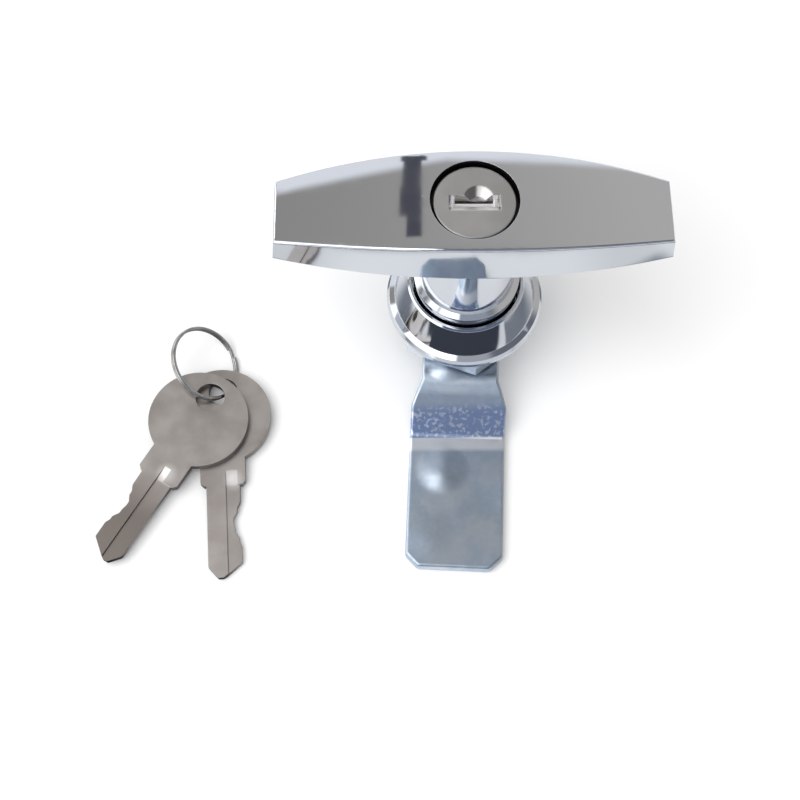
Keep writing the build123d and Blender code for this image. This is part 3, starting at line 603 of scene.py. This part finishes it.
# One wire wound round centre. With t the angle along the coil and s the angle round the wire:
# point = centre + (radius + a cos s)(cos t along + sin t across) + (heightOf(t) + b sin s) up.
# A power under 1 flattens the wire's sides. Each end is closed by a fan round its middle.
def coiledWire(centre, along, across, up, radius, wireHalf, turns, heightOf, steps, sides, power=1.0):
    startAngle, turnCount = turns
    count = int(steps * turnCount) + 1
    t = startAngle + np.linspace(0.0, 2 * np.pi * turnCount, count)[:, None]
    s = np.linspace(0.0, 2 * np.pi, sides, endpoint=False)[None, :]
    a, b = wireHalf
    along, across, up, centre = (np.array(v, float) for v in (along, across, up, centre))
    outward = np.cos(t)[..., None] * along + np.sin(t)[..., None] * across
    reach = radius + a * squarer(np.cos(s), power)
    height = heightOf(t - startAngle) + b * squarer(np.sin(s), power)
    points = centre + reach[..., None] * outward + height[..., None] * up
    ring = np.arange(sides)
    nextRing = (ring + 1) % sides
    rows = np.arange(count - 1)[:, None] * sides
    quads = np.stack([rows + ring, rows + nextRing, rows + sides + nextRing, rows + sides + ring], axis=-1)
    vertices = points.reshape(-1, 3)
    ends = [vertices[:sides].mean(axis=0), vertices[-sides:].mean(axis=0)]
    first = len(vertices)
    lastRow = (count - 1) * sides
    startFan = np.stack([np.full(sides, first), nextRing, ring], axis=-1)
    endFan = np.stack([np.full(sides, first + 1), lastRow + ring, lastRow + nextRing], axis=-1)
    faces = quads.reshape(-1, 4).tolist() + startFan.tolist() + endFan.tolist()
    return np.vstack([vertices, ends]), faces


# Joins grids into one mesh object with smooth faces
def surfacePiece(name, parts, material):
    vertices = []
    faces = []
    start = 0
    for points, polygons in parts:
        vertices.append(points)
        faces += [[start + i for i in polygon] for polygon in polygons]
        start += len(points)
    mesh = bpy.data.meshes.new(name)
    mesh.from_pydata(np.vstack(vertices).tolist(), [], faces)
    mesh.polygons.foreach_set("use_smooth", [True] * len(faces))
    mesh.materials.append(material)
    mesh.update()
    piece = bpy.data.objects.new(name, mesh)
    bpy.context.scene.collection.objects.link(piece)
    return piece


splitRing = {
    "tilt": 39.0,              # degrees about Y, as in the CAD
    "wireHalf": (0.37, 0.32),  # mm, outwards and along the ring's axis
    "turnPitch": 0.65,
    "turns": 1.96,
    "startAngle": 40.0,
    "jogAngle": 34.0,          # how much of a turn the wire takes to step over
    "steps": 180,
    "sides": 24,
    "power": 0.7,
}


# Two flat turns of wire: its height goes by a smooth step from -half to half in the middle
def keyRing():
    low, high = (Vector(corner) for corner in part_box("key_ring"))
    centre = (low + high) / 2
    tilt, startAngle, jog = (math.radians(splitRing[key]) for key in ("tilt", "startAngle", "jogAngle"))
    along = (math.cos(tilt), 0.0, -math.sin(tilt))
    up = (math.sin(tilt), 0.0, math.cos(tilt))
    wireHalf = tuple(v * mm for v in splitRing["wireHalf"])
    radius = (high.y - low.y) / 2 - wireHalf[0]
    half = splitRing["turnPitch"] * mm / 2

    def height(t):
        step = np.clip((t - np.pi * splitRing["turns"]) / jog + 0.5, 0.0, 1.0)
        return half * (2 * step * step * (3 - 2 * step) - 1)

    coil = coiledWire(
        centre, along, (0.0, 1.0, 0.0), up, radius, wireHalf, (startAngle, splitRing["turns"]), height,
        splitRing["steps"], splitRing["sides"], splitRing["power"],
    )
    piece = surfacePiece("splitRingWire", [coil], wireSteel)
    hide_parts("key_ring")
    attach(piece, "key_ring")


springs = {
    "count": 5,                # in the row, and one more for the retainer
    "wireRadius": 0.13,
    "turnsPerMm": 2.3,
    "steps": 22,
    "sides": 8,
}


# A spring along X that fills a box: its height rises evenly with the angle
def coilSpring(low, high):
    wire = springs["wireRadius"] * mm
    radius = (high[2] - low[2]) / 2 - wire
    length = high[0] - low[0] - 2 * wire
    turnCount = length / mm * springs["turnsPerMm"]
    centre = (low[0] + wire, (low[1] + high[1]) / 2, (low[2] + high[2]) / 2)
    rise = length / (2 * np.pi * turnCount)
    return coiledWire(
        centre, (0, 1, 0), (0, 0, 1), (1, 0, 0), radius, (wire, wire), (0.0, turnCount),
        lambda t: t * rise, springs["steps"], springs["sides"],
    )


def plugSprings():
    low, high = (np.array(corner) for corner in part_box("wafer_springs"))
    size = high[1] - low[1]                     # each spring is as high as it is wide
    pitch = (high[2] - low[2] - size) / (springs["count"] - 1)
    coils = []
    for i in range(springs["count"]):
        bottom = np.array([low[0], low[1], low[2] + i * pitch])
        coils.append(coilSpring(bottom, bottom + np.array([high[0] - low[0], size, size])))
    row = surfacePiece("waferSpringCoils", coils, darkSteel)
    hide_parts("wafer_springs")
    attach(row, "plug")
    low, high = (np.array(corner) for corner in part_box("retainer_spring"))
    single = surfacePiece("retainerSpringCoil", [coilSpring(low, high)], darkSteel)
    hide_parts("retainer_spring")
    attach(single, "plug")


keyRing()
plugSprings()
print("split ring and springs made")


# Stage, light and camera

floorLook = {
    "colour": (0.96, 0.96, 0.96, 1),
    "size": 3.0,                  # metres
    "gap": 0.02,                  # mm under the object
    "front": (-62.0, -68.0),      # in a reflection it turns dark past this y - frontSlope |x|, in mm
    "frontSlope": 0.14,
    "frontColour": (0.05, 0.055, 0.07, 1),
    "sideStart": (34.0, 56.0),    # and grey at its sides, with only a little of it before a y
    "sideEnd": (64.0, 72.0),
    "sideBehind": (-47.5, -43.0),
    "sideLeast": 0.2,
    "sideColour": (0.24, 0.26, 0.29, 1),
    "far": (150.0, 190.0),        # far off it is light again
    "white": (170.0, 420.0),      # and the camera sees plain white there
}


def floorRamp(tree, value, key, *levels):
    start, end = (edge * mm for edge in floorLook[key])
    return ramp(tree, value, start, end, *levels)


# The sheet's material: only reflections see the grey and dark parts, and only the camera the white
def whiteSheet():
    look = floorLook
    material, tree, shader, place = startMaterial("whiteSheet")
    x, y, _ = addNode(tree, "ShaderNodeSeparateXYZ", {0: place}).outputs
    aside = mathNode(tree, "ABSOLUTE", x)
    away = distance(tree, place)
    near = mathNode(tree, "SUBTRACT", 1.0, floorRamp(tree, away, "far"))
    side = mathNode(tree, "SUBTRACT", floorRamp(tree, aside, "sideStart"), floorRamp(tree, aside, "sideEnd"))
    side = product(tree, side, floorRamp(tree, y, "sideBehind", look["sideLeast"], 1.0), near)
    colour = mixColour(tree, side, look["colour"], look["sideColour"])
    forward = mathNode(tree, "SUBTRACT", y, product(tree, aside, look["frontSlope"]))
    front = product(tree, floorRamp(tree, forward, "front"), near)
    colour = mixColour(tree, front, colour, look["frontColour"])
    path = addNode(tree, "ShaderNodeLightPath").outputs
    colour = mixColour(tree, path["Is Glossy Ray"], look["colour"], colour)
    white = product(tree, floorRamp(tree, away, "white"), path["Is Camera Ray"])
    setSocket(tree, shader.inputs["Base Color"], mixColour(tree, white, colour, (0, 0, 0, 1)))
    setSocket(tree, shader.inputs["Emission Strength"], white)
    shader.inputs["Emission Color"].default_value = (1, 1, 1, 1)
    shader.inputs["Roughness"].default_value = 1.0
    shader.inputs["Specular IOR Level"].default_value = 0.0
    return material


def paleFloor():
    level = cadBox[0][2] - floorLook["gap"] * mm
    half = floorLook["size"] / 2
    mesh = bpy.data.meshes.new("floor")
    corners = [(-half, -half, level), (half, -half, level), (half, half, level), (-half, half, level)]
    mesh.from_pydata(corners, [], [(0, 1, 2, 3)])
    mesh.materials.append(whiteSheet())
    floor = bpy.data.objects.new("floor", mesh)
    bpy.context.scene.collection.objects.link(floor)


roomLook = {
    "fill": (0.65, 0.65, 0.65, 1),     # what lights matt things, from all round
    "leftGrey": (0.412, 0.395, 0.368, 1),
    "rightGrey": (0.65, 0.62, 0.585, 1),
    "greyFrom": (-0.6, 0.8),           # lean at which the walls are all left grey and all right grey
    "leastUp": 0.05,                   # z that lean divides by at the horizon
    "backRight": 0.05,                 # how much the back edge turns forward at the right and the left
    "backLeft": 0.20,
}

# Lit and dark parts of the room that polished things see, each laid over the ones before it.
# A part is where each of its measures has passed from the first value to the second. The
# measures are x, y and z of the direction, lean = x / z and back = y, more at both sides.
darkShape = (0.10, 0.10, 0.125, 1)
roomParts = [
    ((1.12, 1.13, 1.16, 1), [("back", 0.640, 0.672)]),
    ((0.20, 0.21, 0.24, 1), [("y", 0.37, 0.22), ("z", 0.60, 0.70)]),
    ((0.42, 0.46, 0.53, 1), [("y", -0.46, -0.58), ("z", 0.58, 0.68)]),
    ((0.52, 0.54, 0.58, 1), [("y", -0.26, -0.31), ("y", -0.42, -0.38), ("z", 0.78, 0.85)]),
    ((0.15, 0.19, 0.30, 1), [("y", -0.35, -0.60), ("z", 0.57, 0.45)]),
    ((0.90, 0.92, 0.95, 1), [("y", -0.35, -0.60), ("z", 0.30, 0.22)]),
    ((2.9, 2.9, 2.9, 1), [
        ("x", -0.03, -0.09), ("x", -0.76, -0.66), ("y", 0.24, 0.16), ("y", -0.45, -0.35), ("z", 0.52, 0.62),
    ]),
    ((2.0, 2.0, 2.0, 1), [
        ("x", -0.22, -0.32), ("x", -0.80, -0.70), ("y", 0.37, 0.33), ("y", -0.45, -0.35), ("z", 0.48, 0.58),
    ]),
    ((2.6, 2.6, 2.6, 1), [
        ("x", -0.10, -0.20), ("y", -0.40, -0.50), ("z", 0.50, 0.58), ("z", 0.90, 0.84),
    ]),
    ((2.6, 2.6, 2.6, 1), [("x", -0.48, -0.58), ("z", 0.06, 0.12), ("z", 0.52, 0.44)]),
    (darkShape, [
        ("lean", -0.084, -0.088), ("lean", -0.131, -0.127), ("y", 0.378, 0.390), ("y", 0.50, 0.48),
    ]),
    (darkShape, [
        ("lean", -0.084, -0.088), ("lean", -0.152, -0.147), ("y", 0.452, 0.475), ("y", 0.575, 0.555),
    ]),
    (darkShape, [
        ("lean", -0.086, -0.090), ("lean", -0.147, -0.142), ("y", 0.54, 0.55), ("y", 0.676, 0.668),
    ]),
    (darkShape, [
        ("lean", -0.068, -0.073), ("lean", -0.156, -0.151), ("y", 0.652, 0.657), ("y", 0.676, 0.670),
    ]),
]


# The room by direction: matt surfaces get an even fill, polished ones see grey walls, darker on
# the left, with the parts above laid over them, and the camera sees white
def studioRoom():
    world = bpy.data.worlds.new("studio")
    bpy.context.scene.world = world
    world.use_nodes = True
    tree = world.node_tree
    tree.nodes.clear()
    direction = addNode(tree, "ShaderNodeTexCoord").outputs["Generated"]
    x, y, z = addNode(tree, "ShaderNodeSeparateXYZ", {0: direction}).outputs
    lean = mathNode(tree, "DIVIDE", x, mathNode(tree, "MAXIMUM", z, roomLook["leastUp"]))
    rightward = product(tree, mathNode(tree, "MAXIMUM", x, 0.0), roomLook["backRight"])
    leftward = product(tree, mathNode(tree, "MINIMUM", x, 0.0), roomLook["backLeft"])
    back = mathNode(tree, "ADD", y, mathNode(tree, "SUBTRACT", rightward, leftward))
    measures = {"x": x, "y": y, "z": z, "lean": lean, "back": back}
    greys = ramp(tree, lean, *roomLook["greyFrom"])
    walls = mixColour(tree, greys, roomLook["leftGrey"], roomLook["rightGrey"])
    for colour, where in roomParts:
        mask = product(tree, *[ramp(tree, measures[name], start, end) for name, start, end in where])
        walls = mixColour(tree, mask, walls, colour)
    path = addNode(tree, "ShaderNodeLightPath").outputs
    seen = mixColour(tree, path["Is Glossy Ray"], roomLook["fill"], walls)
    seen = mixColour(tree, path["Is Camera Ray"], seen, (1, 1, 1, 1))
    background = addNode(tree, "ShaderNodeBackground", {"Color": seen, "Strength": 1.0})
    addNode(tree, "ShaderNodeOutputWorld", {"Surface": background.outputs[0]})


softLamp = {
    "place": (-0.280, -0.230, 0.740),  # metres
    "size": 0.66,
    "watts": 4.9,
}


# A square lamp whose -Z axis points at the origin. Polished things don't show it.
def addLamp():
    data = bpy.data.lights.new("leftBox", "AREA")
    data.shape = "SQUARE"
    data.size = softLamp["size"]
    data.energy = softLamp["watts"]
    light = bpy.data.objects.new("leftBox", data)
    bpy.context.scene.collection.objects.link(light)
    place = Vector(softLamp["place"])
    turn = (-place).to_track_quat("-Z", "Y")
    light.matrix_world = Matrix.Translation(place) @ turn.to_matrix().to_4x4()
    light.visible_glossy = False


photoCamera = {
    "lens": 67.519,                     # mm
    "sensor": 36.0,
    "target": (-14.302, -16.565, 0.0),  # on the floor, mm
    "distance": 347.552,
    "elevation": 66.296,                # degrees, and the next two
    "azimuth": -2.356,
    "roll": 1.884,
    "nearest": 0.01,                    # metres
}


# back = (sin az cos el, -cos az cos el, sin el), and right and up are turned by the roll
def addCamera():
    el, az, roll = (math.radians(photoCamera[key]) for key in ("elevation", "azimuth", "roll"))
    back = Vector((math.sin(az) * math.cos(el), -math.cos(az) * math.cos(el), math.sin(el)))
    floorLevel = Vector((0.0, 0.0, cadBox[0][2]))
    place = (Vector(photoCamera["target"]) + photoCamera["distance"] * back) * mm + floorLevel
    flat = Vector((0.0, 0.0, 1.0)).cross(back).normalized()
    upright = back.cross(flat)
    right = flat * math.cos(roll) + upright * math.sin(roll)
    up = upright * math.cos(roll) - flat * math.sin(roll)
    data = bpy.data.cameras.new("photoCamera")
    data.lens = photoCamera["lens"]
    data.sensor_width = photoCamera["sensor"]
    data.clip_start = photoCamera["nearest"]
    camera = bpy.data.objects.new("photoCamera", data)
    bpy.context.scene.collection.objects.link(camera)
    turn = Matrix((right, up, back)).transposed()
    camera.matrix_world = Matrix.Translation(place) @ turn.to_4x4()
    bpy.context.scene.camera = camera


paleFloor()
studioRoom()
addLamp()
addCamera()
bpy.context.scene.view_settings.view_transform = "Standard"
print("stage, light and camera set")
